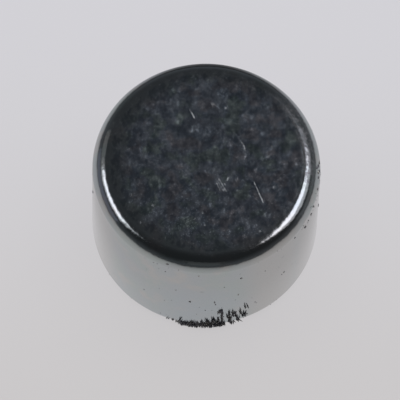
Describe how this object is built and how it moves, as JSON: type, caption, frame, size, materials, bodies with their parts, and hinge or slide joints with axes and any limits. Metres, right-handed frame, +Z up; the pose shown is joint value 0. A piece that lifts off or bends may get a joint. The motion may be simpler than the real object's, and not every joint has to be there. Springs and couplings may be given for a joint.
{
  "type": "door magnet",
  "caption": "Short cylindrical door magnet, bright plated all over, with flat end faces and well rounded edges.",
  "frame": {"origin": "centre of the bottom face, which it stands on", "axes": "+Z up along the magnet's own axis; the picture is taken from the -Y side"},
  "size_m": [0.01, 0.01, 0.007],
  "materials": {
    "plating": "bright nickel plating with a fine grain, scratched on the top face"
  },
  "bodies": {
    "root": {"magnet": "plating"}
  },
  "joints": []
}
